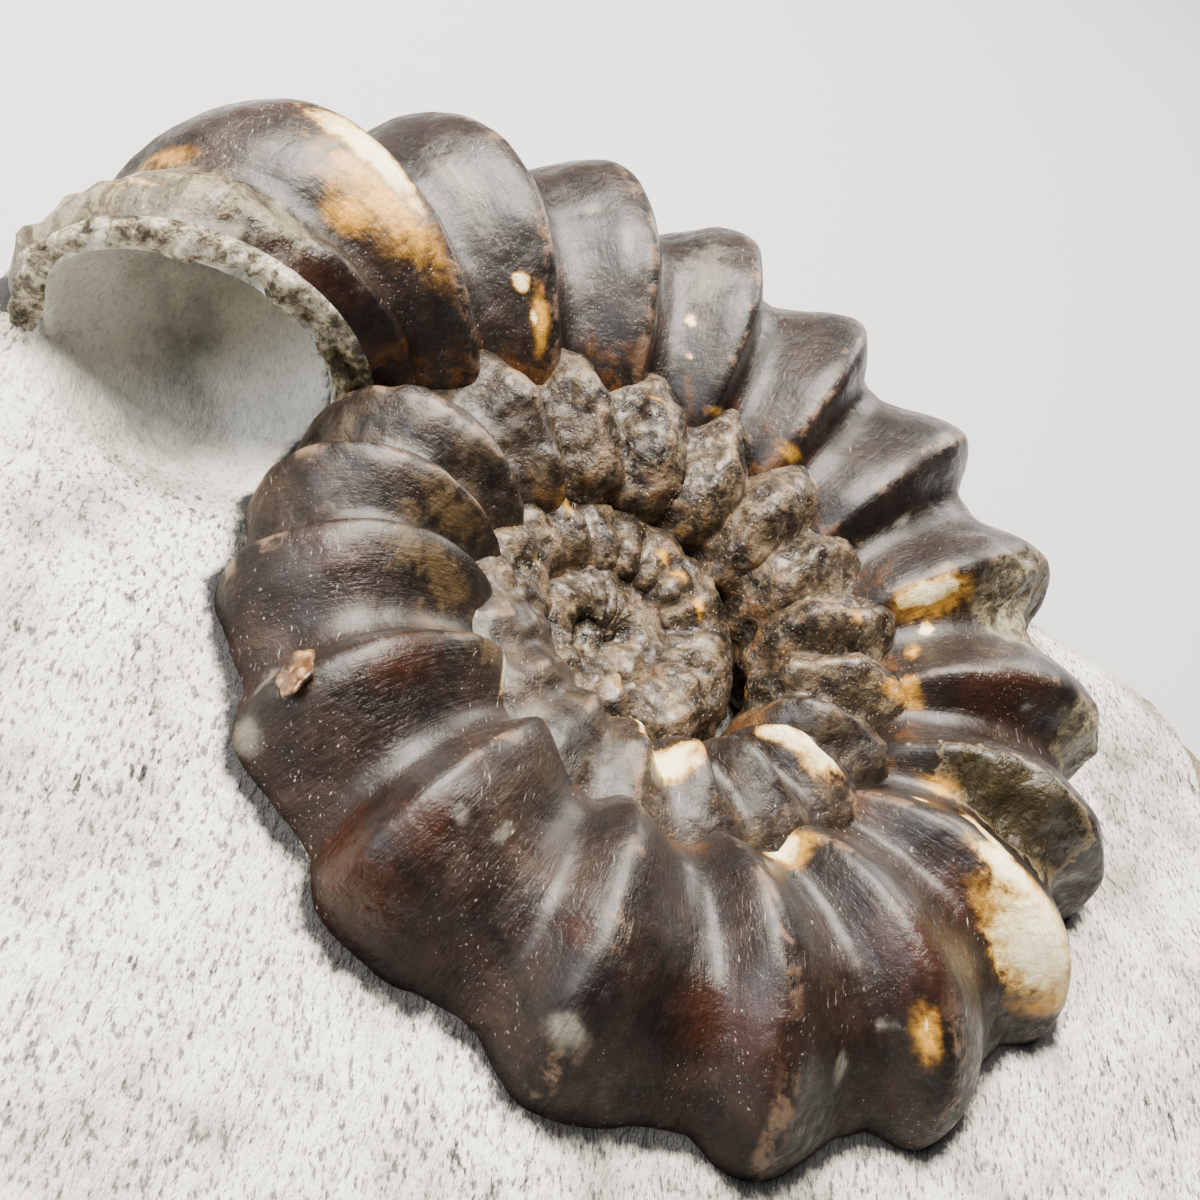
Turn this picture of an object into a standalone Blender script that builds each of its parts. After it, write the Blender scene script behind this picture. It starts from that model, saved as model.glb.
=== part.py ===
"""A ribbed, coiled ammonite lying half out of its block of limestone.

The coil lies level, with its axis upright through the origin. Its mouth is broken back to a thin wall
round a hollow, and faces -Y on the -X side. From the mouth the coil runs clockwise, seen from above, in to
the middle. The block has a flat base on z = 0, and its top reaches half way up the shell and into the
hollow of the mouth.
"""
import math

import bmesh
import bpy
import numpy as np

# ---- driving dimensions, in metres -------------------------------------------------------------
SHELL_RADIUS = 0.0267        # from the coil's axis to a rib's crest at the mouth
BED_DEPTH = 0.0150           # the coil's middle plane above the flat base
FIT_GAP = 0.0003             # clearance between the shell and its bed

# ---- the coil: turns from the mouth, and lengths in shell radii ---------------------------------
TURNS = (-0.2, 0.0, 0.25, 0.5, 0.75, 1.0, 1.25, 1.5, 1.85, 2.25, 2.5, 3.0, 3.5, 4.0, 4.3)
CREST_RADII = (1.154, 1.0, 0.843, 0.717, 0.615, 0.532, 0.464, 0.409, 0.346, 0.225, 0.197, 0.150, 0.100, 0.065,
               0.050)
# The tube's section at some turns: half its width in the coil's plane and half its height across it, both of
# the crest radius there.
SECTION_TURNS = (1.0, 1.25, 1.6, 2.0, 2.6)
HALF_WIDTH = (0.301, 0.275, 0.305, 0.33, 0.30)
HALF_HEIGHT = (0.288, 0.305, 0.325, 0.335, 0.32)
INNER_SHIFT = (-0.05, 0.03, -0.03)   # the inner turns sit a little off the axis, and deeper
SHIFT_START, SHIFT_RUN = 1.1, 1.4    # turns over which they move there
MIDDLE_RADIUS = 0.075        # the first chamber, which closes the middle of the coil

# ---- the ribs ----------------------------------------------------------------------------------
# Crest angles in degrees from the mouth. The spacing is this shell's own, and not even.
OUTER_RIBS = (8.0, 35.6, 54.6, 73.8, 92.0, 110.3, 130.4, 151.4, 173.7, 193.4, 212.2, 235.0, 257.0, 280.4,
              306.6, 326.9, 348.5, 365.0, 381.0, 401.0, 419.0)
INNER_RIB_PITCH = 19.5
RIB_HEIGHT = 0.28            # of the tube's half width, on its outer side
WORN_ANGLES = (400.0, 760.0, 1080.0)     # the middle turns are worn
WORN_SHARE = (1.0, 0.62, 0.30)       # what is left of the rib height there
SEAM_RIB_HEIGHT = 0.06       # what is left of a rib where two turns meet
SEAM_REACH = 0.45            # part of the way round the tube over which it comes down to that
VENTER_SHARE = (0.65, 0.40)  # what is left of it on the outer side, before and after those degrees of coil
VENTER_ANGLES = (290.0, 330.0)
VENTER_REACH = 0.21          # part of the way round over which it comes back to its full height
RIB_SWEEP = (6.9, -5.7)      # degrees that a rib leans back, for the way round the tube and for its square
RIB_FALL = (0.26, 0.50)      # part of the pitch that the steep side takes, in the outer and inner turns
RIB_RISE = (0.60, 0.50)      # part that the gentle side takes
RIB_CURVE = 1.3              # how hollow the gentle side is
INNER_ANGLES = (360.0, 430.0)    # degrees of coil over which the ribs turn from the one into the other
OUTER_PHASES = (0.0, 0.13, 0.28, 0.66)   # rings through each rib of the outer turn
INNER_PHASES = (0.0, 0.50)
LAST_ANGLE = 1330.0          # where the tube has run into the first chamber
# Points round the tube in degrees from its outer side: few on the half that lies in the stone.
AROUND = (-150, -115, -80, -45, -10, 12, 32, 52, 71, 90, 109, 128, 150, 174)

# ---- the broken mouth --------------------------------------------------------------------------
MOUTH_ANGLE = 17.7           # degrees from the start of the spiral to the rim
MOUTH_YAW = 17.8             # degrees that the rim is turned out of the radial plane
MOUTH_FADE = 22.0            # degrees of coil over which the rings turn back into it
HOLLOW_SIZE = 0.567          # the hollow inside the shell wall, of the crest section
HOLLOW_LENGTH = 24.0         # degrees of coil that the hollow reaches in
HOLLOW_PARTS = (-0.40, 0.0, 0.25, 0.50, 0.70, 0.85, 0.95, 1.0)
HOLLOW_CLOSING = 0.97        # how far its end closes
LIP_BAND = (22.0, 2.2, 0.10)     # the swollen band behind the rim: its place and width in degrees, its rise
LIP_GROOVE = (27.0, 1.5, -0.05)  # and the groove behind that

# ---- the block ---------------------------------------------------------------------------------
REACH_STEP = 15.0
# Reach of the block from the axis in shell radii, at each of those steps in degrees anticlockwise from +X.
BLOCK_REACH = (1.33, 1.27, 1.09, 1.01, 1.00, 1.02, 1.04, 1.06, 1.08, 1.08, 1.05, 0.99,
               0.97, 1.08, 1.22, 1.30, 1.29, 1.24, 1.21, 1.24, 1.32, 1.37, 1.40, 1.37)
# The block's side as reach and height, each of its whole, from the middle of the top round to the base.
BLOCK_PROFILE = ((0.0, 1.0), (0.25, 1.0), (0.40, 1.0), (0.52, 1.0), (0.62, 1.0), (0.72, 1.0), (0.82, 0.995),
                 (0.90, 0.965), (0.95, 0.90), (0.985, 0.78), (1.0, 0.58), (0.985, 0.30), (0.95, 0.10),
                 (0.91, 0.0), (0.0, 0.0))
BLOCK_STEPS = 64
TOP_LEVEL = -0.022           # the top face from the coil's middle plane, in shell radii
BACK_FALL, BACK_START, BACK_RUN = 0.12, 0.25, 0.5     # how much lower it lies behind the shell, from which y
NEAR_RISE, NEAR_START, NEAR_RUN = 0.040, 0.05, 0.30   # how much higher in front of it
MIDDLE_FALL, MIDDLE_REACH = 0.15, 0.45                # and how much lower under the middle of the coil
SCOOP_CENTRE = (-0.645, 0.22)    # the middle of the mouth in plan, in shell radii
SCOOP_DEPTH = 0.090          # the dip that runs from the top of the block into the mouth
SCOOP_RADIUS = 0.24
PLUG_START = 23.0            # degrees of coil to where the stone starts to rise behind the dip
PLUG_RUN = 17.0
PLUG_RISE = 0.25
PLUG_CURVE = 1.5             # how hollow its slope is
PLUG_END = 1.1               # where it comes down again, in runs from its start
PLUG_HALF_WIDTH = 0.07
PLUG_EDGE = 0.08             # width of its side slopes

LIMESTONE = (0.58, 0.56, 0.51, 1.0)
CALCITE = (0.055, 0.034, 0.026, 1.0)


def smooth_step(value):
    """0 to 1 with level ends."""
    t = np.clip(value, 0.0, 1.0)
    return t * t * (3.0 - 2.0 * t)


def crest_radius(turn):
    """Distance from the axis to the ribs' crests in metres, a smooth curve through the radii above."""
    turns, logs = np.array(TURNS), np.log(CREST_RADII)
    slopes = np.gradient(logs, turns)
    i = np.clip(np.searchsorted(turns, turn, side="right") - 1, 0, len(turns) - 2)
    span = turns[i + 1] - turns[i]
    t = (turn - turns[i]) / span
    from_left = (1.0 + 2.0 * t) * (1.0 - t)**2 * logs[i] + t * (1.0 - t)**2 * span * slopes[i]
    from_right = (3.0 - 2.0 * t) * t**2 * logs[i + 1] - (1.0 - t) * t**2 * span * slopes[i + 1]
    return np.exp(from_left + from_right) * SHELL_RADIUS


def rib_angles():
    """Every crest from the broken lip to the middle of the coil."""
    inner = np.arange(OUTER_RIBS[-1] + INNER_RIB_PITCH, LAST_ANGLE + 2.0 * INNER_RIB_PITCH, INNER_RIB_PITCH)
    return np.concatenate([OUTER_RIBS, inner])


def rib_profile(angle):
    """1 on a crest and 0 in a valley: a steep side away from the mouth and a gentle one towards it."""
    ribs = rib_angles()
    k = np.clip(np.searchsorted(ribs, angle, side="right") - 1, 0, len(ribs) - 2)
    phase = (angle - ribs[k]) / (ribs[k + 1] - ribs[k])
    steep = 1.0 - smooth_step(phase / np.interp(angle, INNER_ANGLES, RIB_FALL))
    gentle = (1.0 - smooth_step((1.0 - phase) / np.interp(angle, INNER_ANGLES, RIB_RISE)))**RIB_CURVE
    return np.maximum(steep, gentle)


def lip_swell(angle):
    """The band and the groove behind the broken rim, each a rounded bump along the coil."""
    bumps = (LIP_BAND, LIP_GROOVE)
    return sum(rise * math.exp(-((angle - place) / width)**2) for place, width, rise in bumps)


def rib_swell(angle, around):
    """Size of the ribbed tube against its size at a crest.

    The ribs fade where the turns meet, and are lower on the outer side than on its shoulders.
    """
    from_outside = np.abs(around) / math.pi
    sweep = RIB_SWEEP[0] * from_outside + RIB_SWEEP[1] * from_outside**2
    broken = 1.0 - smooth_step((angle - MOUTH_ANGLE) / MOUTH_FADE)
    seam_height = SEAM_RIB_HEIGHT + (RIB_HEIGHT - SEAM_RIB_HEIGHT) * broken
    height = seam_height + (RIB_HEIGHT - seam_height) * smooth_step((1.0 - from_outside) / SEAM_REACH)
    venter = broken + (1.0 - broken) * np.interp(angle, VENTER_ANGLES, VENTER_SHARE)
    height *= venter + (1.0 - venter) * smooth_step(from_outside / VENTER_REACH)
    height *= np.interp(angle, WORN_ANGLES, WORN_SHARE)
    return 1.0 - height * (1.0 - rib_profile(angle - sweep)) + lip_swell(angle)


def tube_ring(angle, around, size, grow):
    """Points round the tube at one angle of the coil, in degrees.

    around runs about the tube in radians, 0 on its outer side and pi / 2 on top. size is its size against
    the crest section, and grow a distance added to its half axes.
    """
    turn, bearing = angle / 360.0, math.radians(angle)
    radius = crest_radius(turn)
    half_width = radius * np.interp(turn, SECTION_TURNS, HALF_WIDTH)
    half_height = radius * np.interp(turn, SECTION_TURNS, HALF_HEIGHT)
    out = (half_width * size + grow) * np.cos(around)
    up = (half_height * size + grow) * np.sin(around)
    turned = 1.0 - smooth_step((angle - MOUTH_ANGLE) / MOUTH_FADE)
    forward = out * math.tan(math.radians(MOUTH_YAW)) * turned
    distance = radius - half_width + out
    shift = smooth_step((turn - SHIFT_START) / SHIFT_RUN) * SHELL_RADIUS
    return np.stack([-distance * math.cos(bearing) - forward * math.sin(bearing) + INNER_SHIFT[0] * shift,
                     distance * math.sin(bearing) - forward * math.cos(bearing) + INNER_SHIFT[1] * shift,
                     up + INNER_SHIFT[2] * shift + BED_DEPTH], axis=-1)


def loft(name, rings):
    """A closed body through rings of points, with a fan of faces over each end."""
    mesh = bpy.data.meshes.new(name)
    build = bmesh.new()
    rows = [[build.verts.new(point) for point in ring] for ring in rings]
    for row, following in zip(rows, rows[1:]):
        for k in range(len(row)):
            n = (k + 1) % len(row)
            build.faces.new((row[k], row[n], following[n], following[k]))
    for ring, row in ((rings[0], rows[0]), (rings[-1], rows[-1])):
        middle = build.verts.new(np.mean(ring, axis=0))
        for k in range(len(row)):
            build.faces.new((row[k], row[(k + 1) % len(row)], middle))
    bmesh.ops.recalc_face_normals(build, faces=build.faces)
    build.to_mesh(mesh)
    build.free()
    return bpy.data.objects.new(name, mesh)


def ring_angles():
    """Angles of the rings, at the same phases of every rib, and fewer of them in the inner turns."""
    ribs = rib_angles()
    angles = [MOUTH_ANGLE, LIP_BAND[0]]
    for crest, following in zip(ribs, ribs[1:]):
        for phase in OUTER_PHASES if crest < 360.0 else INNER_PHASES:
            angle = crest + phase * (following - crest)
            if LIP_BAND[0] < angle < LAST_ANGLE:
                angles.append(angle)
    return angles


def coiled_tube(name, grow=0.0):
    """The whole ribbed tube, which runs into itself where one turn rests on the next."""
    around = np.radians(AROUND)
    return loft(name, [tube_ring(angle, around, rib_swell(angle, around), grow) for angle in ring_angles()])


def mouth_hollow(name, grow=0.0):
    """The hollow of the mouth, from in front of the rim to its rounded end."""
    around = np.radians(AROUND)
    rings = []
    for part in HOLLOW_PARTS:
        ends = HOLLOW_SIZE * math.sqrt(1.0 - HOLLOW_CLOSING * max(part, 0.0)**4)
        rings.append(tube_ring(MOUTH_ANGLE + part * HOLLOW_LENGTH, around, ends, grow))
    return loft(name, rings)


def first_chamber(name, grow=0.0):
    """The small rounded body in the middle of the coil."""
    radius = MIDDLE_RADIUS * SHELL_RADIUS + grow
    mesh = bpy.data.meshes.new(name)
    build = bmesh.new()
    bmesh.ops.create_uvsphere(build, u_segments=12, v_segments=8, radius=radius)
    build.to_mesh(mesh)
    build.free()
    chamber = bpy.data.objects.new(name, mesh)
    chamber.location = (INNER_SHIFT[0] * SHELL_RADIUS, INNER_SHIFT[1] * SHELL_RADIUS,
                        INNER_SHIFT[2] * SHELL_RADIUS + BED_DEPTH)
    return chamber


def block_top(x, y):
    """Height of the block's top face: nearly level, with a dip into the mouth and a plug behind it."""
    x, y = x / SHELL_RADIUS, y / SHELL_RADIUS
    level = TOP_LEVEL + NEAR_RISE * smooth_step((NEAR_START - y) / NEAR_RUN)
    level -= BACK_FALL * smooth_step((y - BACK_START) / BACK_RUN)
    from_mouth = np.hypot(x - SCOOP_CENTRE[0], y - SCOOP_CENTRE[1]) / SCOOP_RADIUS
    dip = SCOOP_DEPTH * (1.0 - smooth_step(from_mouth))
    off_centre_line = np.abs(np.hypot(x, y) - np.hypot(*SCOOP_CENTRE))
    past_start = (np.degrees(np.arctan2(y, -x)) - PLUG_START) / PLUG_RUN
    plug = PLUG_RISE * smooth_step(past_start)**PLUG_CURVE * (1.0 - smooth_step(past_start - PLUG_END))
    plug *= 1.0 - smooth_step((off_centre_line - PLUG_HALF_WIDTH) / PLUG_EDGE)
    under_coil = MIDDLE_FALL * (1.0 - smooth_step(np.hypot(x, y) / MIDDLE_REACH))
    return BED_DEPTH + (level - under_coil - dip + plug) * SHELL_RADIUS


def limestone_block(name):
    """A profile turned about the axis, then drawn out to the block's reach and raised to its top face."""
    mesh = bpy.data.meshes.new(name)
    mesh.from_pydata([(reach, 0.0, height) for reach, height in BLOCK_PROFILE],
                     [(k, k + 1) for k in range(len(BLOCK_PROFILE) - 1)], [])
    turned = bpy.data.objects.new(name, mesh)
    screw = turned.modifiers.new("Turned", "SCREW")
    screw.steps = screw.render_steps = BLOCK_STEPS
    screw.use_merge_vertices = True
    screw.merge_threshold = 0.0001
    parts.objects.link(turned)
    block_mesh = applied_mesh(turned)
    count = len(block_mesh.vertices)
    points = np.empty(count * 3)
    block_mesh.vertices.foreach_get("co", points)
    points = points.reshape(count, 3)
    bearing = np.degrees(np.arctan2(points[:, 1], points[:, 0])) % 360.0
    steps = np.arange(len(BLOCK_REACH) + 1) * REACH_STEP
    reach = np.interp(bearing, steps, BLOCK_REACH + BLOCK_REACH[:1]) * SHELL_RADIUS
    points[:, 0] *= reach
    points[:, 1] *= reach
    points[:, 2] *= block_top(points[:, 0], points[:, 1])
    block_mesh.vertices.foreach_set("co", points.ravel())
    turned.modifiers.clear()
    turned.data = block_mesh
    return turned


def applied_mesh(piece):
    """The piece's mesh as its modifiers leave it."""
    graph = bpy.context.evaluated_depsgraph_get()
    return bpy.data.meshes.new_from_object(piece.evaluated_get(graph))


def as_cutter(piece):
    cutters.objects.link(piece)
    piece.hide_render = True
    piece.display_type = "WIRE"
    return piece


def combine(piece, other, operation, crosses_itself=False):
    step = piece.modifiers.new(other.name, "BOOLEAN")
    step.operation = operation
    step.object = other
    step.solver = "EXACT"
    step.use_self = crosses_itself


def finish(piece, name, colour, roughness):
    material = bpy.data.materials.new(name)
    material.use_nodes = True
    shader = material.node_tree.nodes["Principled BSDF"]
    shader.inputs["Base Color"].default_value = colour
    shader.inputs["Roughness"].default_value = roughness
    shader.inputs["Metallic"].default_value = 0.0
    piece.data.materials.clear()
    piece.data.materials.append(material)
    piece.data.shade_smooth()


for old in list(bpy.data.objects):
    bpy.data.objects.remove(old)
parts = bpy.data.collections.new("ammonite_fossil")
cutters = bpy.data.collections.new("cutters")
bpy.context.scene.collection.children.link(parts)
bpy.context.scene.collection.children.link(cutters)

ammonite = coiled_tube("ammonite")
parts.objects.link(ammonite)
combine(ammonite, as_cutter(first_chamber("first_chamber")), "UNION", crosses_itself=True)
combine(ammonite, as_cutter(mouth_hollow("mouth_hollow")), "DIFFERENCE")
finish(ammonite, "waxed_calcite", CALCITE, 0.3)

bed = as_cutter(coiled_tube("bed", FIT_GAP))
combine(bed, as_cutter(first_chamber("chamber_bed", FIT_GAP)), "UNION", crosses_itself=True)
combine(bed, as_cutter(mouth_hollow("hollow_bed", -FIT_GAP)), "DIFFERENCE")

matrix = limestone_block("limestone_matrix")
combine(matrix, bed, "DIFFERENCE")
finish(matrix, "limestone", LIMESTONE, 0.9)
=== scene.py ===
import math

import bpy
import numpy as np
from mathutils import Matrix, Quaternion, Vector


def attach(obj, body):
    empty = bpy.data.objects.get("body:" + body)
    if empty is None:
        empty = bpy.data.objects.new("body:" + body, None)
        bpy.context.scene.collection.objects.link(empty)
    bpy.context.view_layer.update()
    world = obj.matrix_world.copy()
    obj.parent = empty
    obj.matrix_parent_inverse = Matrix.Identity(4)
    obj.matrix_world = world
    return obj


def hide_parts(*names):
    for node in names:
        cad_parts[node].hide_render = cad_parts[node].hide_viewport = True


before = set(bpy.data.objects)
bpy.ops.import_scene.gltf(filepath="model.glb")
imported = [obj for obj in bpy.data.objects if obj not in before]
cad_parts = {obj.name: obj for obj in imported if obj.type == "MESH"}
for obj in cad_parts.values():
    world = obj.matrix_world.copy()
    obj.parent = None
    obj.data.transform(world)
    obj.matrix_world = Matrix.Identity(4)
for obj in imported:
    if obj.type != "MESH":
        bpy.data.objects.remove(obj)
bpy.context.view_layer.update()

millimetre = 0.001


def linearColour(hexCode):
    # sRGB hex to the linear values that the shaders work in
    parts = [int(hexCode[k:k + 2], 16) / 255.0 for k in (1, 3, 5)]
    return tuple(c / 12.92 if c <= 0.04045 else ((c + 0.055) / 1.055) ** 2.4 for c in parts) + (1.0,)


smooth = {"interpolation_type": "SMOOTHSTEP"}  # for a MapRange node with level ends


def addNode(tree, kind, inputs=None, out=0, stops=None, **settings):
    # a shader node with its settings; each input is a number, a hex colour or another node's output
    node = tree.nodes.new("ShaderNode" + kind)
    for name, value in settings.items():
        setattr(node, name, value)
    for name, value in (inputs or {}).items():
        if isinstance(value, bpy.types.NodeSocket):
            tree.links.new(value, node.inputs[name])
        else:
            node.inputs[name].default_value = linearColour(value) if isinstance(value, str) else value
    if stops:
        ends = node.color_ramp.elements
        ends[0].position, ends[0].color = stops[0][0], linearColour(stops[0][1])
        ends[1].position, ends[1].color = stops[-1][0], linearColour(stops[-1][1])
        for place, colour in stops[1:-1]:
            ends.new(place).color = linearColour(colour)
    return node.outputs[out]


def smoothStep(value):
    # 0 to 1 with level ends: 3t^2 - 2t^3
    t = np.clip(value, 0.0, 1.0)
    return t * t * (3.0 - 2.0 * t)


def eased(value, start, end):
    # 0 up to the start, 1 from the end on
    return smoothStep((value - start) / (end - start))


def smoothCurve(places, heights, at):
    # cubic through the given points, each with the slope of its neighbours
    places, heights = np.asarray(places, float), np.asarray(heights, float)
    slopes = np.gradient(heights, places)
    i = np.clip(np.searchsorted(places, at, side="right") - 1, 0, len(places) - 2)
    span = places[i + 1] - places[i]
    t = np.clip((at - places[i]) / span, 0.0, 1.0)
    fromLeft = (1.0 + 2.0 * t) * (1.0 - t) ** 2 * heights[i] + t * (1.0 - t) ** 2 * span * slopes[i]
    fromRight = (3.0 - 2.0 * t) * t ** 2 * heights[i + 1] - (1.0 - t) * t ** 2 * span * slopes[i + 1]
    return fromLeft + fromRight


def latticeNoise(points, cell, seed):
    # random numbers from -1 to 1 on a cubic lattice of that cell, blended smoothly between its corners
    side = 32
    lattice = np.random.RandomState(seed).uniform(-1.0, 1.0, (side, side, side))
    place = np.asarray(points) / cell
    corner = np.floor(place).astype(int)
    t = smoothStep(place - corner)
    total = np.zeros(place.shape[:-1])
    for dx in (0, 1):
        for dy in (0, 1):
            for dz in (0, 1):
                weight = np.abs(1 - dx - t[..., 0]) * np.abs(1 - dy - t[..., 1]) * np.abs(1 - dz - t[..., 2])
                total += weight * lattice[(corner[..., 0] + dx) % side, (corner[..., 1] + dy) % side,
                                          (corner[..., 2] + dz) % side]
    return total


def layeredNoise(points, cell, seed, layers):
    # each layer has half the cell and half the height of the one before
    return sum(latticeNoise(points, cell / 2 ** k, seed + k) / 2 ** k for k in range(layers))


def reliefPush(points, rows, layers):
    # millimetres outwards: noises of the given cell and height, each with its own weight and seed
    return sum(height * weight * layeredNoise(points, cell * millimetre, seed, layers)
               for (cell, height), weight, seed in rows)


def gridNormals(points):
    # cross product of the two grid directions, for a grid that closes on itself across its columns
    along = np.gradient(points, axis=0)
    across = (np.roll(points, -1, axis=1) - np.roll(points, 1, axis=1)) / 2.0
    normal = np.cross(across, along)
    return normal / np.maximum(np.linalg.norm(normal, axis=-1, keepdims=True), 1e-12)


def addObject(name, data):
    thing = bpy.data.objects.new(name, data)
    bpy.context.scene.collection.objects.link(thing)
    return thing


def closedGrid(name, points, attributes, materialRows):
    # rows of points joined to the next row and round on themselves, with a point closing each end
    rows, columns = points.shape[:2]
    corner = np.arange(rows * columns).reshape(rows, columns)
    following = np.roll(corner, -1, axis=1)
    quads = np.stack([corner[:-1], following[:-1], following[1:], corner[1:]], axis=-1).reshape(-1, 4)
    first, last = rows * columns, rows * columns + 1
    firstFan = np.stack([np.full(columns, first), following[0], corner[0]], axis=-1)
    lastFan = np.stack([np.full(columns, last), corner[-1], following[-1]], axis=-1)
    vertices = np.concatenate([points.reshape(-1, 3), [points[0].mean(axis=0)], [points[-1].mean(axis=0)]])
    mesh = bpy.data.meshes.new(name)
    mesh.from_pydata(vertices, [], quads.tolist() + firstFan.tolist() + lastFan.tolist())
    slots = np.concatenate([np.repeat(materialRows[:-1], columns), np.full(columns, materialRows[0]),
                            np.full(columns, materialRows[-1])])
    mesh.polygons.foreach_set("material_index", slots.astype(int))
    for label, values in attributes.items():
        values = np.broadcast_to(values, (rows, columns))
        full = np.concatenate([values.ravel(), [values[0].mean()], [values[-1].mean()]])
        layer = mesh.attributes.new(label, "FLOAT", "POINT")
        layer.data.foreach_set("value", full.astype(np.float32))
    mesh.update()
    mesh.validate()
    mesh.shade_smooth()
    return addObject(name, mesh)


# The coil: angles in degrees from the start of its spiral, lengths as shares of its radius. The first table
# gives the radius of the crests after so many turns.
coil = {
    "radius": 26.7 * millimetre,  # from the axis to a rib's crest at the mouth
    "middle": 15.0 * millimetre,  # the coil's middle plane above the base
    "turns": (-0.2, 0.0, 0.25, 0.5, 0.75, 1.0, 1.25, 1.5, 1.85, 2.25, 2.5, 3.0, 3.5, 4.0, 4.3),
    "crestRadii": (1.154, 1.0, 0.843, 0.717, 0.615, 0.532, 0.464, 0.409, 0.346, 0.225, 0.197, 0.15, 0.1,
                   0.065, 0.05),
    "sectionTurns": (1.0, 1.25, 1.6, 2.0, 2.6, 2.95, 3.3),  # the tube's section changes over these
    "halfWidth": (0.301, 0.275, 0.305, 0.33, 0.3, 0.34, 0.52),
    "halfHeight": (0.288, 0.305, 0.325, 0.335, 0.32, 0.33, 0.38),
    "innerShift": (-0.05, 0.03, -0.03),
    "shiftTurns": (1.1, 1.4),  # where the inner turns start to shift, and over how many
    "lastAngle": 1440.0,
    "curlAngle": 1340.0,  # from here the tube curls in on its own axis and closes the middle
    "columns": 98,
    "crowding": 0.42,  # more points round the upper side
    "rowsPerRib": (26, 14, 7),  # first, second and later turns
    "rowCrowding": 0.09,  # more rows near the crests
    "endFade": (40.0, 0.05),  # the last degrees, over which the tube shrinks, and to what
}
ribs = {
    "crests": (8.0, 35.6, 54.6, 73.8, 92.0, 110.3, 130.4, 151.4, 173.7, 193.4, 212.2, 235.0, 257.0, 280.4,
               306.6, 326.9, 348.5, 365.0, 381.0, 401.0, 419.0),
    "innerPitch": 19.5,
    "height": 0.28,  # of the tube's half width
    "wornAngles": (400.0, 600.0, 665.0, 735.0, 790.0, 1080.0, 1230.0),
    "wornShare": (1.0, 0.98, 0.36, 0.2, 0.58, 0.32, 0.0),  # of the height that is left on the worn turns
    "wornOuter": 0.45,  # and of that on their outer side: only the inner shoulder has beads
    "wornOuterPart": (0.3, 0.6),  # parts of the way round over which that outer side ends
    "wornOuterAngles": (400.0, 700.0),  # degrees of coil over which it sets in
    "fullness": (0.62, 0.58, 0.62, 0.62, 0.58, 0.6, 0.6),  # the lower, the rounder the ribs
    "bead": (120.0, 23.0),  # place and width round the tube of the knob on each worn rib
    "beadHeight": (0.0, 0.14, 0.02, 0.0, 0.12, 0.06, 0.0),
    "seamHeight": 0.06,  # what is left of a rib where two turns meet
    "seamReach": 0.45,  # of the way round the tube
    "venterAngles": (290.0, 330.0),
    "venterShare": (0.65, 0.4),  # of the height on the outer side, at those angles
    "venterReach": 0.21,
    "innerAngles": (360.0, 430.0),
    "steepSide": (0.26, 0.5),  # shares of the pitch, at those angles
    "gentleSide": (0.6, 0.5),
    "hollowness": 1.3,
    "sweep": (6.9, -5.7),  # degrees of lean, for the way round and its square
    "lipBumps": ((22.0, 2.2, 0.1), (27.0, 1.5, -0.05)),  # place, width, height of the band and its groove
}
mouth = {
    "angle": 17.7,
    "yaw": 17.8,  # degrees that the broken rim is turned out of the radial plane
    "fade": 22.0,  # degrees of coil over which the tube turns back into it
    "hollowSize": 0.567,  # of the crest section
    "hollowClosing": 0.995,  # how far its deep end closes
    "outerThinning": 0.11,  # how much wider it is on its outer side, where the edge is thin
    "thinningPart": (0.08, 0.48),  # parts of the way round over which that ends
    "thinningRise": 0.45,  # radians above the middle plane over which it sets in
    "hollowLength": 24.0,
    "hollowRows": 26,
    "rimRows": 9,
    "rimBulge": 0.35,  # degrees that the broken edge stands proud
    "outsideRun": 3.0,  # degrees behind it over which the relief sets in
    "firstRow": 0.3,  # degrees from it to the first row of points outside
    "bedStart": 0.7,  # and to where the shell lies in its bed
}


def ribAngles():
    inner = np.arange(ribs["crests"][-1] + ribs["innerPitch"], coil["lastAngle"] + 60.0, ribs["innerPitch"])
    return np.concatenate([ribs["crests"], inner])


def ribHeight(angle):
    # 1 on a crest, 0 in a valley: falls steeply away from the mouth, rises gently towards the next crest
    crests = ribAngles()
    k = np.clip(np.searchsorted(crests, angle, side="right") - 1, 0, len(crests) - 2)
    phase = (angle - crests[k]) / (crests[k + 1] - crests[k])
    steep = 1.0 - smoothStep(phase / np.interp(angle, ribs["innerAngles"], ribs["steepSide"]))
    gentle = 1.0 - smoothStep((1.0 - phase) / np.interp(angle, ribs["innerAngles"], ribs["gentleSide"]))
    fullness = np.interp(angle, ribs["wornAngles"], ribs["fullness"])
    return np.maximum(steep, gentle ** ribs["hollowness"]) ** fullness


def partRound(around):
    # 0 on the outer side of the tube, 1 on its inner side
    return 1.0 - np.abs(1.0 - np.abs(around) / math.pi)


def ribSweep(around):
    # degrees that a rib leans back on its way from the outer side up to the seam
    return ribs["sweep"][0] * partRound(around) + ribs["sweep"][1] * partRound(around) ** 2


def nearMouth(angle):
    # 1 at the broken rim, 0 from where the tube has turned back into the radial plane
    return 1.0 - smoothStep((angle - mouth["angle"]) / mouth["fade"])


def mouthShear(angle):
    # how far the tube's section leans forward for each unit outwards
    return math.tan(math.radians(mouth["yaw"])) * nearMouth(angle)


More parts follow.
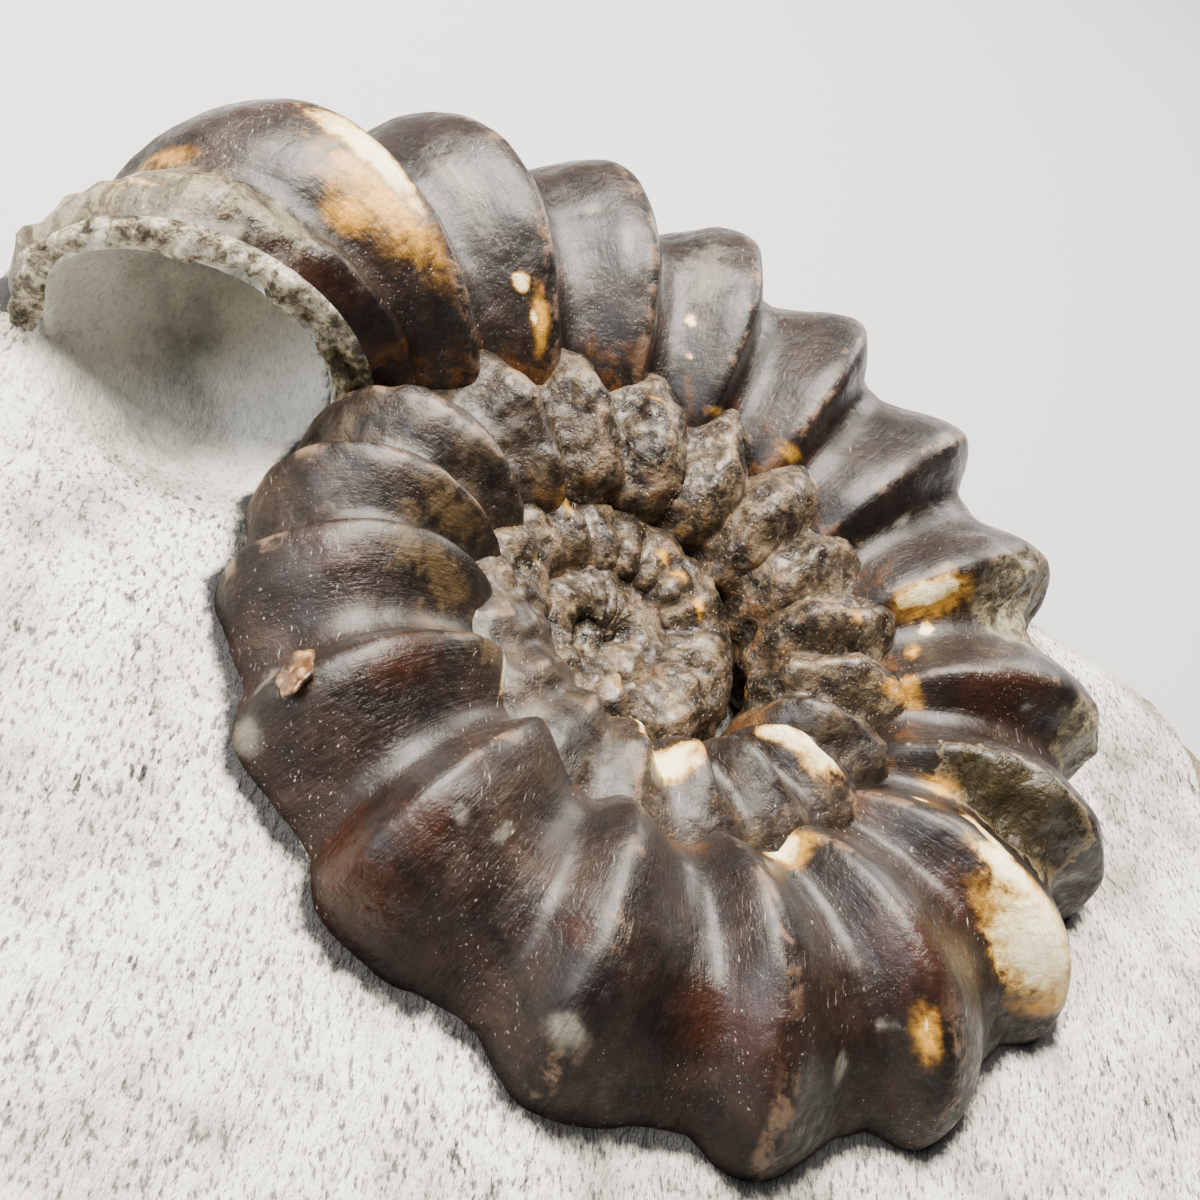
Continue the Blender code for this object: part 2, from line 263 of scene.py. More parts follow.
def ribSwell(angle, around):
    # size of the ribbed tube against a crest section; ribs fade where the turns meet and on the outer side
    part = partRound(around)
    broken = nearMouth(angle)
    seamHeight = ribs["seamHeight"] + (ribs["height"] - ribs["seamHeight"]) * broken
    height = seamHeight + (ribs["height"] - seamHeight) * smoothStep((1.0 - part) / ribs["seamReach"])
    share = np.interp(angle, ribs["wornAngles"], ribs["wornShare"])
    onOuter = (1.0 - eased(part, *ribs["wornOuterPart"])) * eased(angle, *ribs["wornOuterAngles"])
    height = height * share * (1.0 - (1.0 - ribs["wornOuter"]) * onOuter)
    venter = broken + (1.0 - broken) * np.interp(angle, ribs["venterAngles"], ribs["venterShare"])
    height = height * (venter + (1.0 - venter) * smoothStep(part / ribs["venterReach"]))
    lip = sum(rise * np.exp(-((angle - place) / width) ** 2) for place, width, rise in ribs["lipBumps"])
    crest = ribHeight(angle - ribSweep(around))
    bead = np.interp(angle, ribs["wornAngles"], ribs["beadHeight"]) * crest \
        * np.exp(-((np.degrees(around) - ribs["bead"][0]) / ribs["bead"][1]) ** 2)
    return 1.0 - height * (1.0 - crest) + bead + lip


def crestRadius(angle):
    return np.exp(smoothCurve(coil["turns"], np.log(coil["crestRadii"]), angle / 360.0)) * coil["radius"]


def tubeHalves(angle):
    # half width and half height of the tube at a crest
    radius = crestRadius(angle)
    return (radius * np.interp(angle / 360.0, coil["sectionTurns"], coil["halfWidth"]),
            radius * np.interp(angle / 360.0, coil["sectionTurns"], coil["halfHeight"]))


def axisShift(angle):
    # how far a turn's axis lies off the coil's own
    start, run = coil["shiftTurns"]
    shift = smoothStep((angle / 360.0 - start) / run) * coil["radius"]
    return [part * shift for part in coil["innerShift"]]


def tubePoints(angle, around, size):
    # a point at distance size round an ellipse whose centre runs along the spiral; near the mouth the
    # ellipses are sheared forward on their outer side, and the inner turns shift off the axis
    halfWidth, halfHeight = tubeHalves(angle)
    out = halfWidth * size * np.cos(around)
    up = halfHeight * size * np.sin(around)
    bearing = np.radians(angle)
    forward = out * mouthShear(angle)
    curled = eased(angle, coil["curlAngle"], coil["lastAngle"])
    distance = (crestRadius(angle) - halfWidth) * (1.0 - curled) + out
    shiftX, shiftY, shiftZ = axisShift(angle)
    return np.stack([-distance * np.cos(bearing) - forward * np.sin(bearing) + shiftX,
                     distance * np.sin(bearing) - forward * np.cos(bearing) + shiftY,
                     up + shiftZ + coil["middle"]], axis=-1)


def outerRowAngles():
    # more rows near the crests, and fewer in the inner turns
    crests = ribAngles()
    angles = []
    for k in range(len(crests) - 1):
        rows = coil["rowsPerRib"][min(int(crests[k] // 360.0), 2)]
        t = np.arange(rows) / rows
        crowded = t - coil["rowCrowding"] * np.sin(math.tau * t)
        angles.append(crests[k] + crowded * (crests[k + 1] - crests[k]))
    angles = np.concatenate(angles)
    return angles[(angles > mouth["angle"] + mouth["firstRow"]) & (angles < coil["lastAngle"])]


def tubeRow():
    # points round the tube, from underneath and back, crowded on the side that stands out of the stone
    turned = math.tau * np.arange(coil["columns"]) / coil["columns"] - math.pi / 2.0
    return turned + coil["crowding"] * np.cos(turned)


# Marks on the shell: place along the coil and round the tube in degrees, half length along the coil and half
# width round the tube in millimetres, and for a few of them a turn in degrees.
marks = {
    "cream": (
        (215.6, 64, 0.8, 2.1), (214.4, 88, 0.45, 1.3), (208.5, 102, 0.38, 1.6, 50), (242, 145, 0.8, 0.5),
        (624.5, 115, 0.95, 0.85), (634, 138, 0.25, 1.1, 15), (575, 100, 0.72, 0.95), (579.5, 122, 0.32, 0.9),
        (324, 143, 0.95, 0.22), (307, 136, 0.5, 0.1), (36.2, 88, 0.55, 2.3), (155.5, 129, 0.4, 1.1),
        (161, 133, 0.32, 0.36), (51.5, 127, 0.28, 0.4), (52.5, 137, 0.2, 0.28), (208, 129, 0.3, 0.28),
        (85.8, 119, 0.22, 0.3), (239.2, 61, 0.07, 0.35), (21.9, 53, 0.12, 1.1), (86.6, 133, 0.18, 0.22)),
    "amber": (
        (832, 99, 0.3, 0.32), (847, 101, 0.36, 0.34), (871, 101, 0.42, 0.22), (33.6, 100, 1.25, 2.6),
        (29.2, 100, 0.55, 0.9), (156.3, 128, 0.75, 1.5), (177.8, 143, 0.9, 0.4), (53.5, 138, 0.45, 1),
        (27.6, 43, 0.28, 1.4), (238.9, 57, 0.22, 0.95), (241, 141, 0.95, 0.6), (616.5, 116, 0.3, 0.5),
        (200.3, 127, 0.3, 0.75), (212.9, 70, 0.3, 2.3), (218, 74, 0.3, 1.9), (215.2, 35, 0.75, 0.65),
        (113, 142, 0.8, 0.3), (121, 146, 0.9, 0.3), (96, 147, 0.6, 0.3), (166.5, 141, 0.6, 0.3)),
    "gilt": (
        (345.5, 106, 0.7, 1.9, 20), (341.8, 124, 0.8, 1.2), (333, 122, 1, 1.2), (327.5, 124, 0.8, 1),
        (574, 88, 0.3, 0.5), (362, 112, 0.6, 1.6)),
    "red": (
        (264, 61, 1.5, 1.6), (306.6, 60, 0.8, 1.4), (285.3, 67, 0.5, 0.5), (347.5, 66, 1, 1.2),
        (326.5, 78, 0.9, 1.5), (307.5, 27, 1.5, 1.7), (238, 86, 1.1, 2), (19.5, 108, 0.8, 3),
        (220, 97, 0.8, 1.8), (70, 35, 0.9, 2.6), (35, 50, 1, 2.5), (178, 110, 1, 2.4)),
    "pale": (
        (304.5, 69, 0.24, 0.26), (326.5, 15, 0.38, 0.65), (332, 23, 0.34, 0.42), (281.6, 39, 0.46, 0.5),
        (241.8, 60, 0.2, 0.24), (69, 88, 0.3, 0.36), (72, 106, 0.25, 0.7), (299.5, 78, 0.18, 0.42),
        # the pale mark at 50 degrees on the second rib is partly a pale patch and partly a painted highlight
        (87.5, 96, 0.75, 2.3), (50, 92, 0.6, 2.4), (268, 128, 0.22, 0.25), (248, 44, 0.32, 0.6),
        (179, 96, 0.16, 0.25), (138.5, 120, 0.26, 0.62)),
    "light": (
        (158.5, 76, 1.8, 3), (177.5, 52, 1, 2.1), (22.3, 40, 1.5, 8.5)),
    "dark": (
        (198.2, 92, 1, 3.3, 8), (577.6, 107, 0.18, 0.28)),
}
unmarked = -2.0  # the field far from any mark
relief = {
    "fullWidth": 3.0,  # half width in millimetres from which the tube has the full relief
    "swell": (5.5, 0.16),  # cell and height in millimetres
    "ripple": (2.3, 0.07),
    "grain": (0.9, 0.035),
    "wornLumps": (1.7, 0.29),
    "wornGrain": (0.75, 0.2),
    "wornAngles": (335.0, 440.0, 535.0, 570.0, 690.0, 725.0),
    "wornness": (0.0, 1.0, 1.0, 0.36, 0.36, 1.0),  # some wax is left on the third turn's near side
    "rimCrystals": (0.6, 0.32),
}


def markField(angle, around, places):
    # 1 in the middle of the nearest mark, 0 on its edge, and less outside
    field = np.full(angle.shape, unmarked)
    radius = crestRadius(angle) * 0.75 / millimetre  # of the middle of the tube's upper side
    tube = tubeHalves(angle)[1] / millimetre
    for place, side, length, width, *turn in places:
        along = np.radians(angle - place) * radius
        across = np.radians(np.degrees(around) - side) * tube
        c, s = math.cos(math.radians(sum(turn))), math.sin(math.radians(sum(turn)))
        field = np.maximum(field, 1.0 - np.hypot((along * c + across * s) / length,
                                                 (across * c - along * s) / width))
    return field


def makeAmmonite():
    around = tubeRow()[None, :]
    # rows run from the deep end of the hollow out to the rim, over the rim and back along the outside
    deep = np.linspace(1.0, 0.0, mouth["hollowRows"])
    hollowAngles = mouth["angle"] + deep * mouth["hollowLength"]
    hollowSizes = mouth["hollowSize"] * np.sqrt(1.0 - mouth["hollowClosing"] * deep ** 3)
    rimPart = np.linspace(0.0, 1.0, mouth["rimRows"] + 2)[1:-1]
    outerSize = 1.0 - ribs["height"]
    rimAngles = mouth["angle"] - mouth["rimBulge"] * np.sin(math.pi * rimPart)
    rimSizes = mouth["hollowSize"] + (outerSize - mouth["hollowSize"]) * rimPart
    thinning = mouth["outerThinning"] * smoothStep(around / mouth["thinningRise"]) \
        * (1.0 - eased(partRound(around), *mouth["thinningPart"]))
    outerAngles = outerRowAngles()
    run, least = coil["endFade"]
    innerEnd = smoothStep((coil["lastAngle"] - outerAngles) / run)[:, None] ** 0.5
    outerSizes = ribSwell(outerAngles[:, None], around) * np.maximum(innerEnd, least)
    angles = np.concatenate([hollowAngles, rimAngles, outerAngles])[:, None] + 0.0 * around
    sizes = np.concatenate([hollowSizes[:, None] * (1.0 + thinning),
                            rimSizes[:, None] * (1.0 + thinning * (1.0 - rimPart[:, None])), outerSizes])
    # zones, which are also the material slots: 0 outside, 1 broken edge, 2 hollow
    zone = np.concatenate([np.full(len(deep), 2), np.full(len(rimPart), 1), np.full(len(outerAngles), 0)])
    points = tubePoints(angles, around, sizes)
    rib = ribHeight(angles - ribSweep(around))
    outside = (zone == 0)[:, None] * smoothStep((angles - mouth["angle"]) / mouth["outsideRun"])
    worn = smoothStep(np.interp(angles, relief["wornAngles"], relief["wornness"]))
    broken = smoothStep(markField(angles, around, marks["light"] + marks["dark"]) * 2.0 + 0.5)
    worn = np.maximum(worn, broken) * outside
    fine = np.minimum(tubeHalves(angles)[0] / (relief["fullWidth"] * millimetre), 1.0)
    push = reliefPush(points, ((relief["swell"], outside * fine, 11), (relief["ripple"], outside * fine, 17),
                               (relief["grain"], outside, 23), (relief["wornLumps"], worn * fine, 37),
                               (relief["wornGrain"], worn, 53),
                               (relief["rimCrystals"], (zone == 1)[:, None], 71)), 2)
    points = points + gridNormals(points) * push[..., None] * millimetre
    # the stone in the hollow is top face, away from the painted shade along the shell and not worked
    attributes = {"coilAngle": angles, "aroundTube": around, "ribHeight": rib, "worn": worn,
                  "fromShell": 5.0, "onTop": 1.0, "worked": 0.0}
    for name, places in marks.items():
        field = markField(angles, around, places)
        attributes[name + "Mark"] = np.where((zone == 0)[:, None], field, unmarked)
    return closedGrid("ammoniteShell", points, attributes, zone)


core = {
    "reach": 2.5,  # millimetres, out to under the last turn
    "height": (0.75, -0.9),  # of its middle and of its rim over the inner turns' middle plane
    "thickness": 1.2,
    "hollow": (0.35, 0.55, 0.75),  # place, width and depth of the dent in it
    "lumps": (1.25, 0.42),
    "grain": (0.55, 0.16),
    "rows": 34,
    "columns": 96,
}


def makeCore():
    # crumbled middle of the coil: a low lumpy dome, closed underneath, that the last turn runs into
    reach, (middle, rim) = core["reach"], core["height"]
    share = np.linspace(0.03, 1.0, core["rows"])
    share = np.concatenate([share, share[::-1][1:]])[:, None]
    upper = (np.arange(len(share)) < core["rows"])[:, None]
    bearing = -math.tau * np.arange(core["columns"])[None, :] / core["columns"]
    x, y = share * reach * np.cos(bearing), share * reach * np.sin(bearing)
    place, width, depth = core["hollow"]
    dent = depth * np.exp(-((x - place) ** 2 + (y + place) ** 2) / width ** 2)
    height = middle + (rim - middle) * share ** 2 - np.where(upper, dent, core["thickness"] * (1.0 - share))
    shift = [part / millimetre for part in axisShift(coil["lastAngle"])]
    points = np.stack([x + shift[0], y + shift[1], height + shift[2] + coil["middle"] / millimetre], axis=-1)
    push = reliefPush(points * millimetre, ((core["lumps"], upper, 211), (core["grain"], upper, 223)), 2)
    points[..., 2] += push
    attributes = {"coilAngle": np.degrees(bearing), "aroundTube": 1.6, "ribHeight": 0.5, "worn": 1.0}
    attributes.update({name + "Mark": unmarked for name in marks})
    return closedGrid("coilCore", points * millimetre, attributes, np.zeros(len(share)))


# The block: lengths as shares of the coil's radius. Its reach is given at even steps anticlockwise, its
# profile from the middle of the top down to the base.
block = {
    "reach": (1.33, 1.27, 1.09, 1.01, 1.00, 1.02, 1.04, 1.06, 1.08, 1.08, 1.05, 0.99,
              0.97, 1.08, 1.22, 1.3, 1.29, 1.24, 1.21, 1.24, 1.32, 1.37, 1.4, 1.37),
    "profileReach": (0.0, 0.25, 0.4, 0.52, 0.62, 0.72, 0.82, 0.9, 0.95, 0.985, 1.0, 0.985, 0.95, 0.91),
    "profileHeight": (1.0, 1.0, 1.0, 1.0, 1.0, 1.0, 0.995, 0.965, 0.9, 0.78, 0.58, 0.3, 0.1, 0.0),
    "top": -0.022,
    "nearRise": (0.04, 0.05, 0.3),  # how much higher in front of the shell, from which y, over how far
    "backFall": (0.12, 0.25, 0.5),  # how much lower behind it
    "middleFall": (0.15, 0.45),  # and how much lower under the middle of the coil, within what radius
    "mouthCentre": (-0.645, 0.206),
    "dip": (0.09, 0.24),  # depth and radius of the dip in front of the mouth
    "bowl": (-0.115, 0.125, 0.178, 0.25),  # floor, rise, half width and length of the bowl inside it
    "bowlEdge": (-0.03, 0.03),  # over which the dip turns into it
    "naturalReach": 1.075,  # past this, on the right, the top is left as it broke
    "naturalBlend": 0.02,
    "naturalBearing": (-62.0, 32.0),  # degrees
    "naturalEdge": 12.0,  # degrees over which it sets in and ends
    "naturalDrop": 0.45,  # millimetres
    "bedInset": 0.35 * millimetre,  # how far the stone reaches in under the shell before it drops
    "bedGap": 0.3 * millimetre,
    "wander": (3.5, 0.035),  # cell in millimetres, and how far the broken edge strays
    "edgeRows": (6.0, 8.0),  # places in the profile between which the top turns into the sides
    "baseRows": (13.0, 11.5),  # and between which the base turns into them
    "mostRelief": 0.3,  # millimetres that a lump may stand out
    "bowlWorked": (0.95, 1.1),  # over which the work of the air pen sets in round the bowl
    "dipWorked": (-0.02, -0.22),  # and in front of it
    "columns": 680,
    "rowRuns": ((0.0, 2.0, 16), (2.0, 7.0, 82), (7.0, 12.0, 34), (12.0, 13.0, 5)),  # through the profile
}


def stoneTop(x, y):
    # nearly level, with a dip in front of the mouth of the shell that runs on as a rounded bowl inside it
    x, y = x / coil["radius"], y / coil["radius"]
    near, back, middle = block["nearRise"], block["backFall"], block["middleFall"]
    level = block["top"] + near[0] * smoothStep((near[1] - y) / near[2])
    level = level - back[0] * smoothStep((y - back[1]) / back[2])
    level = level - middle[0] * (1.0 - smoothStep(np.hypot(x, y) / middle[1]))
    aside, behind = x - block["mouthCentre"][0], y - block["mouthCentre"][1]
    front = level - block["dip"][0] * (1.0 - smoothStep(np.hypot(aside, behind) / block["dip"][1]))
    floor, rise, halfWidth, length = block["bowl"]
    filled = np.clip((aside / halfWidth) ** 2 + (np.maximum(behind, 0.0) / length) ** 2, 0.0, 1.0)
    bowl = floor + rise * (1.0 - np.sqrt(1.0 - filled))
    inside = eased(behind, *block["bowlEdge"]) * (filled < 1.0) * (behind < length)
    height = np.where(inside > 0.0, front + (bowl - front) * inside, front)
    return coil["middle"] + height * coil["radius"]


def bedHeight(x, y):
    # the lower side of every turn that lies over this point, less the gap, and how far the point is
    # outside the nearest turn; the height is nan where the stone is open
    lowest = np.full(np.shape(x), np.inf)
    nearest = np.full(np.shape(x), np.inf)
    for turn in range(int(coil["lastAngle"] / 360.0)):
        angle = np.degrees(np.arctan2(y, -x)) % 360.0 + 360.0 * turn
        shiftX, shiftY, shiftZ = axisShift(angle)
        distance = np.hypot(x - shiftX, y - shiftY)
        halfWidth, halfHeight = tubeHalves(angle)
        centre = crestRadius(angle) - halfWidth
        sheared = (distance - centre) * mouthShear(angle)
        angle = angle + np.degrees(sheared / np.maximum(distance, millimetre))
        swell = ribSwell(angle, 0.0)
        off = (distance - centre) / np.maximum(halfWidth * swell - block["bedInset"], 0.1 * millimetre)
        lower = shiftZ - halfHeight * swell * np.sqrt(np.clip(1.0 - off ** 2, 0.0, 1.0)) - block["bedGap"]
        along = (angle > mouth["angle"] + mouth["bedStart"]) & (angle < coil["lastAngle"])
        inHollow = (angle < mouth["angle"] + mouth["hollowLength"]) \
            & (np.abs(distance - centre) < halfWidth * mouth["hollowSize"] + block["bedInset"])
        lowest = np.where((np.abs(off) < 1.0) & along & ~inHollow, np.minimum(lowest, lower), lowest)
        outside = np.abs(distance - centre) - halfWidth * swell
        nearest = np.where(along, np.minimum(nearest, np.abs(outside)), nearest)
    return np.where(np.isfinite(lowest), coil["middle"] + lowest, np.nan), nearest


stoneRelief = {
    "undulation": (7.0, 0.22),  # cell and height in millimetres
    "pits": (0.9, 0.07),
    "sideFacets": (9.0, 0.9),  # the broken sides and back
    "sideGrain": (2.2, 0.28),
}


def makeBlock():
    columns = block["columns"]
    bearing = -math.tau * np.arange(columns) / columns
    reaches = block["reach"]
    reachAt = np.arange(-2, len(reaches) + 3) * 360.0 / len(reaches)
    reach = smoothCurve(reachAt, reaches[-2:] + reaches + reaches[:3], np.degrees(bearing) % 360.0)
    reach = reach * coil["radius"]
    # down the profile: from the middle of the top, over the edge and down to the base
    profilePart = np.arange(len(block["profileReach"]), dtype=float)
    rows = np.concatenate([np.linspace(*run)[1:] for run in block["rowRuns"]])
    share = smoothCurve(profilePart, block["profileReach"], rows)[:, None]
    height = np.clip(smoothCurve(profilePart, block["profileHeight"], rows), 0.0, 1.0)[:, None]
    x, y = share * reach * np.cos(bearing), share * reach * np.sin(bearing)
    bed, fromShell = bedHeight(x, y)
    flat = np.stack([x, y, np.full(x.shape, coil["middle"])], axis=-1)
    top = stoneTop(x, y)
    above = 1.0 - eased(rows, *block["edgeRows"])[:, None]
    cell, most = block["wander"]
    wander = most * layeredNoise(flat, cell * millimetre, 167, 3)
    bearings = (np.degrees(bearing) + 180.0) % 360.0 - 180.0
    (start, end), run = block["naturalBearing"], block["naturalEdge"]
    window = eased(bearings, start, start + run) * (1.0 - eased(bearings, end - run, end))
    past = np.hypot(x, y) / coil["radius"] + wander - block["naturalReach"]
    natural = smoothStep(past / block["naturalBlend"]) * window
    onTop = above * (1.0 - natural)
    aboveBase = eased(rows, *block["baseRows"])[:, None]
    points = np.stack([x, y, top * height], axis=-1)
    push = reliefPush(flat, ((stoneRelief["undulation"], onTop, 101), (stoneRelief["pits"], onTop, 113)), 3)
    onSide = (1.0 - onTop) * aboveBase
    push = push + reliefPush(points, ((stoneRelief["sideFacets"], onSide, 131),
                                      (stoneRelief["sideGrain"], onSide, 149)), 3)
    push = np.minimum(push, block["mostRelief"]) - block["naturalDrop"] * natural * above
    points = points + gridNormals(points) * push[..., None] * millimetre
    lowered = np.fmin(points[..., 2], bed)
    points[..., 2] = np.where(np.isnan(bed), points[..., 2], lowered)
    points[..., 2] = np.maximum(points[..., 2], 0.0)
    # the air pen worked the top, but not the smooth bowl inside the mouth
    aside = x / coil["radius"] - block["mouthCentre"][0]
    behind = y / coil["radius"] - block["mouthCentre"][1]
    fromBowl = np.hypot(aside / block["bowl"][2], np.maximum(behind, 0.0) / block["bowl"][3])
    worked = np.maximum(eased(fromBowl, *block["bowlWorked"]), eased(behind, *block["dipWorked"]))
    attributes = {"fromShell": np.minimum(fromShell / millimetre, 50.0), "onTop": onTop, "worked": worked}
    return closedGrid("limestoneBlock", points, attributes, np.zeros(len(rows)))


def newMaterial(name, settings):
    material = bpy.data.materials.new(name)
    material.use_nodes = True
    shader = material.node_tree.nodes["Principled BSDF"]
    for socket, value in settings.items():
        shader.inputs[socket].default_value = value
    return material, material.node_tree, shader


def cells(size):
    # noise scale that gives cells of this many millimetres
    return 1.0 / (size * millimetre)


def readFields(tree, look):
    # the mesh attributes and the noises that a look names
    place = addNode(tree, "TexCoord", out="Object")
    fields = {name: addNode(tree, "Attribute", out="Fac", attribute_name=name) for name in look["attributes"]}
    for name, (size, detail, rough, bend, drawn) in look["noises"].items():
        vector = addNode(tree, "Mapping", {"Vector": place, "Rotation": look["strokeTurn"],
                                           "Scale": (1.0, drawn, 1.0)})
        fields[name] = addNode(tree, "TexNoise", {"Vector": vector, "Scale": cells(size), "Detail": detail,
                                                  "Roughness": rough, "Distortion": bend})
    return fields


def layBumps(tree, shader, fields, guide, bumps):
    # each bump on top of the last, with its two strengths where the guide is 0 and where it is 1
    under = {}
    for name, height, least, most in bumps:
        strength = addNode(tree, "Mix", {0: guide, 2: least, 3: most})
        under["Normal"] = addNode(tree, "Bump", {"Height": fields[name], "Distance": height * millimetre,
                                                 "Strength": strength, **under})
    tree.links.new(under["Normal"], shader.inputs["Normal"])


def layColours(tree, colour, roughness, fields, tints):
    # lays each tint, and its roughness, over the colour where the product of its eased fields says
    for tint, most, rough, ranges in tints:
        share = None
        for field, low, high in ranges:
            part = addNode(tree, "MapRange", {"Value": fields[field], "From Min": low, "From Max": high,
                                              "To Max": most if share is None else 1.0}, **smooth)
            share = (part if share is None else
                     addNode(tree, "Math", {0: share, 1: part}, operation="MULTIPLY"))
        colour = addNode(tree, "Mix", {0: share, 6: colour, 7: tint}, out=2, data_type="RGBA")
        roughness = addNode(tree, "Mix", {0: share, 2: roughness, 3: rough})
    return colour, roughness


calcite = {
    "shader": {"IOR": 1.34, "Coat Roughness": 0.37, "Coat IOR": 1.5},
    "waxed": ((0.3, "#070403"), (0.43, "#120a07"), (0.56, "#231711"), (0.72, "#3f3028")),
    "worn": ((0.32, "#140f0b"), (0.43, "#29211a"), (0.54, "#43372a"), (0.68, "#75664f")),
    # size in millimetres, detail, roughness, bend, and how much they are drawn out along one direction
    "noises": {"broad": (3.4, 4.0, 0.55, 0.5, 1.0), "blotch": (1.2, 5.0, 0.62, 0.3, 1.0),
               "grain": (0.42, 4.0, 0.6, 0.0, 1.0), "speck": (0.13, 2.0, 0.5, 0.0, 1.0),
               "hair": (0.08, 2.0, 0.5, 0.45, 0.1), "crinkle": (1.6, 3.0, 0.55, 0.8, 0.7)},
    "strokeTurn": (0.4, 0.2, 0.9),  # radians
    "attributes": ("coilAngle", "aroundTube", "ribHeight", "worn") + tuple(name + "Mark" for name in marks),
    "lineScale": (1.5, 2.6),  # lines for each degree of coil and each radian round the tube
    "lineShade": (0.82, 1.18),  # how much darker and lighter they make it
    # colour, most of it that shows, roughness there, and the fields that it follows from none to full
    "tints": (
        ("#7d6450", 0.6, 0.4, (("ribHeight", 0.92, 1.0), ("blotch", 0.48, 0.6))),
        ("#b07f34", 0.85, 0.24, (("worn", 0.5, 1.0), ("ribHeight", 0.7, 0.95), ("broad", 0.58, 0.65))),
        ("#7b6444", 0.5, 0.36, (("worn", 0.5, 1.0), ("grain", 0.54, 0.66))),
        ("#5a3510", 0.7, 0.36, (("aroundTube", 2.3, 2.7), ("blotch", 0.5, 0.62))),
        ("#b8a888", 0.55, 0.3, (("worn", 0.6, 1.0), ("speck", 0.64, 0.72)))),
    # the marks: edge and middle colour, softness and raggedness of the edge, and roughness
    "marks": (
        ("redMark", 0.0, "#150a06", "#2e160b", 0.6, 1.1, 0.3),
        ("lightMark", 0.0, "#332b1b", "#8f846b", 0.3, 1.2, 0.55),
        ("giltMark", 0.0, "#170e05", "#4c3b24", 0.6, 3.0, 0.42),
        ("darkMark", 0.14, "#4f3c24", "#c4b48d", 0.1, 1.8, 0.4),
        ("darkMark", 0.0, "#191409", "#393122", 0.14, 1.0, 0.28),
        ("amberMark", 0.0, "#3f2409", "#e2a53a", 0.7, 1.3, 0.32),
        # grey pale spots; on the second rib this is partly a painted highlight
        ("paleMark", 0.0, "#2b2622", "#6a655b", 0.6, 1.6, 0.4),
        ("creamMark", 0.22, "#4a2e10", "#c08b34", 0.4, 1.4, 0.34),
        ("creamMark", 0.0, "#dcb765", "#fdf0c6", 0.3, 1.2, 0.34)),
    # over the marks: crinkles and dirt in the worn lip, pale scratches and specks of dust
    "over": (
        ("#1c160c", 0.62, 0.5, (("lightMark", 0.0, 0.25), ("ridge", 0.075, 0.02))),
        ("#2b2213", 0.8, 0.5, (("lightMark", 0.0, 0.25), ("grain", 0.53, 0.62))),
        ("#c9c5bd", 0.45, 0.5, (("hair", 0.655, 0.745), ("broad", 0.45, 0.6))),
        ("#d8d5cd", 0.5, 0.5, (("speck", 0.73, 0.8), ("broad", 0.46, 0.6)))),
    "roughness": (0.4, 0.46),  # waxed and worn
    "unevenness": (0.13, 0.3),  # how much the roughness wanders from there, waxed and worn
    "coatSide": (0.35, 1.1),  # radians round the tube: the wax is thin below, full above
    "coat": 0.5,
    "sparkle": (0.46, 0.6, 0.95),  # on the worn turns only these grains shine, and this much
    "sideRoughness": 0.2,  # more, where it is thin
    # field, height in millimetres, and strength where it is waxed and where it is worn
    "bumps": (("lines", 0.07, 0.75, 0.0), ("blotch", 0.3, 0.55, 1.0), ("grain", 0.14, 0.45, 1.0)),
}


def layMarks(tree, colour, roughness, fields, rows):
    # lays each mark's own colours over the rest where its field says, with an edge torn by the noises
    ragged = addNode(tree, "Mix", {0: 0.5, 2: fields["blotch"], 3: fields["grain"]})
    for name, wider, edge, middle, soft, tear, rough in rows:
        torn = addNode(tree, "Math", {0: ragged, 1: 2.0 * tear, 2: wider - tear}, operation="MULTIPLY_ADD")
        field = addNode(tree, "Math", {0: fields[name], 1: torn}, operation="ADD")
        inside, deeper = (addNode(tree, "MapRange", {"Value": field, "From Min": -soft, "From Max": end},
                                  **smooth) for end in (soft, soft + 0.45))
        tint = addNode(tree, "Mix", {0: deeper, 6: edge, 7: middle}, out=2, data_type="RGBA")
        colour = addNode(tree, "Mix", {0: inside, 6: colour, 7: tint}, out=2, data_type="RGBA")
        roughness = addNode(tree, "Mix", {0: inside, 2: roughness, 3: rough})
    return colour, roughness


